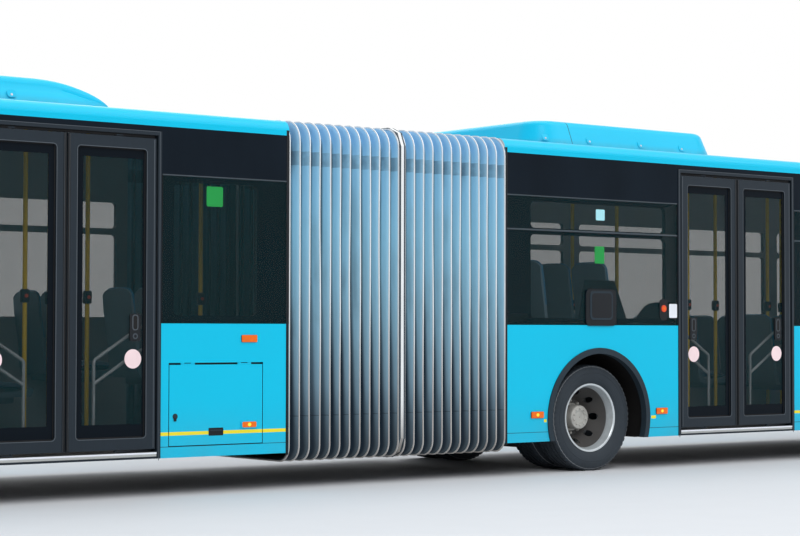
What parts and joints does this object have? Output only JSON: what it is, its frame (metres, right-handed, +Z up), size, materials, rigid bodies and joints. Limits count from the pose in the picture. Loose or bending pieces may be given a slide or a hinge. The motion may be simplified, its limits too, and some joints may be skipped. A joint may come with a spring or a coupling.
{
  "type": "articulated city bus",
  "caption": "Low-floor articulated city bus with three double doors, pleated joint bellows, steered front axle and opening flaps.",
  "frame": {"origin": "on the ground, at the middle of the length and width, bus straight", "axes": "+X forward along the bus, +Y to the left, +Z up"},
  "size_m": [17.98, 3.02, 3.075],
  "materials": {
    "body_blue": "gloss two-pack paint",
    "glass": "dark tinted safety glass",
    "floor_grey": "vinyl floor covering",
    "chassis": "black chassis paint",
    "turntable_plate": "checker plate",
    "tyre": "matte rubber",
    "rim": "silver painted steel",
    "bellows": "silver grey coated cloth",
    "hoop": "mill finish",
    "door": "dark grey frame with glass",
    "post": "grey powder coat",
    "lamp": "amber lens",
    "black_trim": "grained black plastic",
    "seat": "blue moquette on grey shells",
    "yellow_pole": "yellow powder coat"
  },
  "bodies": {
    "front_section": {"front_floor": "floor_grey", "front_right_wall": "body_blue", "front_left_wall": "body_blue", "front_roof": "body_blue", "front_roof_pod": "body_blue", "front_mask": "body_blue", "front_glass": "glass", "front_lamps": "lamp", "mirrors": "black_trim", "cab_fittings": "black_trim", "front_seats": "seat", "front_poles": "yellow_pole", "front_axle": "chassis", "middle_axle": "chassis", "joint_carrier": "chassis", "front_bellows": "bellows"},
    "middle_hoop": {"middle_hoop": "hoop"},
    "rear_section": {"rear_floor": "floor_grey", "rear_right_wall": "body_blue", "rear_left_wall": "body_blue", "rear_roof": "body_blue", "rear_roof_pod": "body_blue", "tail_panel": "body_blue", "rear_glass": "glass", "rear_lamps": "lamp", "rear_seats": "seat", "rear_poles": "yellow_pole", "engine": "chassis", "rear_axle": "chassis", "turntable": "turntable_plate", "rear_bellows": "bellows"},
    "left_knuckle": {"left_knuckle": "chassis"},
    "right_knuckle": {"right_knuckle": "chassis"},
    "engine_lid": {"engine_lid": "body_blue"},
    "service_flap": {"service_flap": "body_blue"},
    "front_left_wheel": {"front_left_tyre": "tyre", "front_left_rim": "rim"},
    "front_right_wheel": {"front_right_tyre": "tyre", "front_right_rim": "rim"},
    "middle_left_wheel": {"middle_left_tyre": "tyre", "middle_left_rim": "rim"},
    "middle_right_wheel": {"middle_right_tyre": "tyre", "middle_right_rim": "rim"},
    "rear_left_wheel": {"rear_left_tyre": "tyre", "rear_left_rim": "rim"},
    "rear_right_wheel": {"rear_right_tyre": "tyre", "rear_right_rim": "rim"},
    "door1_rear_post": {"door1_rear_post": "post"},
    "door1_rear_leaf": {"door1_rear_leaf": "door"},
    "door1_front_post": {"door1_front_post": "post"},
    "door1_front_leaf": {"door1_front_leaf": "door"},
    "door2_rear_post": {"door2_rear_post": "post"},
    "door2_rear_leaf": {"door2_rear_leaf": "door"},
    "door2_front_post": {"door2_front_post": "post"},
    "door2_front_leaf": {"door2_front_leaf": "door"},
    "door3_rear_post": {"door3_rear_post": "post"},
    "door3_rear_leaf": {"door3_rear_leaf": "door"},
    "door3_front_post": {"door3_front_post": "post"},
    "door3_front_leaf": {"door3_front_leaf": "door"}
  },
  "joints": [
    {"name": "articulation", "type": "hinge", "parent": "front_section", "child": "rear_section", "pos_m": [-1.775, 0, 0.3], "axis": [0, 0, 1], "range_deg": [-54, 54], "deforming": ["front_bellows", "rear_bellows"]},
    {"name": "hoop_turn", "type": "hinge", "parent": "front_section", "child": "middle_hoop", "pos_m": [-1.775, 0, 0.3], "axis": [0, 0, 1], "range_deg": [-27.5, 27.5]},
    {"name": "left_steer", "type": "hinge", "parent": "front_section", "child": "left_knuckle", "pos_m": [6.29, 0.9, 0.462], "axis": [0, 0, 1], "range_deg": [-40, 40]},
    {"name": "right_steer", "type": "hinge", "parent": "front_section", "child": "right_knuckle", "pos_m": [6.29, -0.9, 0.462], "axis": [0, 0, 1], "range_deg": [-40.5, 40.5]},
    {"name": "front_left_roll", "type": "hinge", "parent": "left_knuckle", "child": "front_left_wheel", "pos_m": [6.29, 1.0225, 0.462], "axis": [0, 1, 0], "continuous": true},
    {"name": "front_right_roll", "type": "hinge", "parent": "right_knuckle", "child": "front_right_wheel", "pos_m": [6.29, -1.0225, 0.462], "axis": [0, 1, 0], "continuous": true},
    {"name": "middle_left_roll", "type": "hinge", "parent": "front_section", "child": "middle_left_wheel", "pos_m": [0.415, 0.855, 0.462], "axis": [0, 1, 0], "continuous": true},
    {"name": "middle_right_roll", "type": "hinge", "parent": "front_section", "child": "middle_right_wheel", "pos_m": [0.415, -0.855, 0.462], "axis": [0, 1, 0], "continuous": true},
    {"name": "rear_left_roll", "type": "hinge", "parent": "rear_section", "child": "rear_left_wheel", "pos_m": [-6.355, 0.855, 0.462], "axis": [0, 1, 0], "continuous": true},
    {"name": "rear_right_roll", "type": "hinge", "parent": "rear_section", "child": "rear_right_wheel", "pos_m": [-6.355, -0.855, 0.462], "axis": [0, 1, 0], "continuous": true},
    {"name": "door1_rear_post_turn", "type": "hinge", "parent": "front_section", "child": "door1_rear_post", "pos_m": [6.98, -1.17, 1.5], "axis": [0, 0, 1], "range_deg": [0, 90]},
    {"name": "door1_rear_leaf_turn", "type": "hinge", "parent": "door1_rear_post", "child": "door1_rear_leaf", "pos_m": [7.2925, -1.23, 1.5], "axis": [0, 0, 1], "range_deg": [-180.5, 0]},
    {"name": "door1_front_post_turn", "type": "hinge", "parent": "front_section", "child": "door1_front_post", "pos_m": [8.36, -1.17, 1.5], "axis": [0, 0, -1], "range_deg": [0, 90.5]},
    {"name": "door1_front_leaf_turn", "type": "hinge", "parent": "door1_front_post", "child": "door1_front_leaf", "pos_m": [8.0475, -1.23, 1.5], "axis": [0, 0, -1], "range_deg": [-180.5, 0]},
    {"name": "door2_rear_post_turn", "type": "hinge", "parent": "front_section", "child": "door2_rear_post", "pos_m": [1.4, -1.17, 1.5], "axis": [0, 0, 1], "range_deg": [0, 90]},
    {"name": "door2_rear_leaf_turn", "type": "hinge", "parent": "door2_rear_post", "child": "door2_rear_leaf", "pos_m": [1.7525, -1.23, 1.5], "axis": [0, 0, 1], "range_deg": [-180.5, 0]},
    {"name": "door2_front_post_turn", "type": "hinge", "parent": "front_section", "child": "door2_front_post", "pos_m": [2.94, -1.17, 1.5], "axis": [0, 0, -1], "range_deg": [0, 90.5]},
    {"name": "door2_front_leaf_turn", "type": "hinge", "parent": "door2_front_post", "child": "door2_front_leaf", "pos_m": [2.5875, -1.23, 1.5], "axis": [0, 0, -1], "range_deg": [-180.5, 0]},
    {"name": "door3_rear_post_turn", "type": "hinge", "parent": "rear_section", "child": "door3_rear_post", "pos_m": [-5.569, -1.17, 1.5], "axis": [0, 0, 1], "range_deg": [0, 90]},
    {"name": "door3_rear_leaf_turn", "type": "hinge", "parent": "door3_rear_post", "child": "door3_rear_leaf", "pos_m": [-5.2165, -1.23, 1.5], "axis": [0, 0, 1], "range_deg": [-180.5, 0]},
    {"name": "door3_front_post_turn", "type": "hinge", "parent": "rear_section", "child": "door3_front_post", "pos_m": [-4.029, -1.17, 1.5], "axis": [0, 0, -1], "range_deg": [0, 90.5]},
    {"name": "door3_front_leaf_turn", "type": "hinge", "parent": "door3_front_post", "child": "door3_front_leaf", "pos_m": [-4.3815, -1.23, 1.5], "axis": [0, 0, -1], "range_deg": [-180.5, 0]},
    {"name": "engine_lid_hinge", "type": "hinge", "parent": "rear_section", "child": "engine_lid", "pos_m": [-8.983, 0, 1.144], "axis": [0, 1, 0], "range_deg": [0, 80]},
    {"name": "service_flap_hinge", "type": "hinge", "parent": "rear_section", "child": "service_flap", "pos_m": [-3.531, -1.243, 0.967], "axis": [-1, 0, 0], "range_deg": [0, 80]}
  ],
  "couplings": [
    {"joint": "hoop_turn", "follows": "articulation", "ratio": 0.5},
    {"joint": "right_steer", "follows": "left_steer", "ratio": 1},
    {"joint": "door1_rear_leaf_turn", "follows": "door1_rear_post_turn", "ratio": -2},
    {"joint": "door1_front_post_turn", "follows": "door1_rear_post_turn", "ratio": 1},
    {"joint": "door1_front_leaf_turn", "follows": "door1_rear_post_turn", "ratio": -2},
    {"joint": "door2_rear_leaf_turn", "follows": "door2_rear_post_turn", "ratio": -2},
    {"joint": "door2_front_post_turn", "follows": "door2_rear_post_turn", "ratio": 1},
    {"joint": "door2_front_leaf_turn", "follows": "door2_rear_post_turn", "ratio": -2},
    {"joint": "door3_rear_leaf_turn", "follows": "door3_rear_post_turn", "ratio": -2},
    {"joint": "door3_front_post_turn", "follows": "door3_rear_post_turn", "ratio": 1},
    {"joint": "door3_front_leaf_turn", "follows": "door3_rear_post_turn", "ratio": -2}
  ]
}
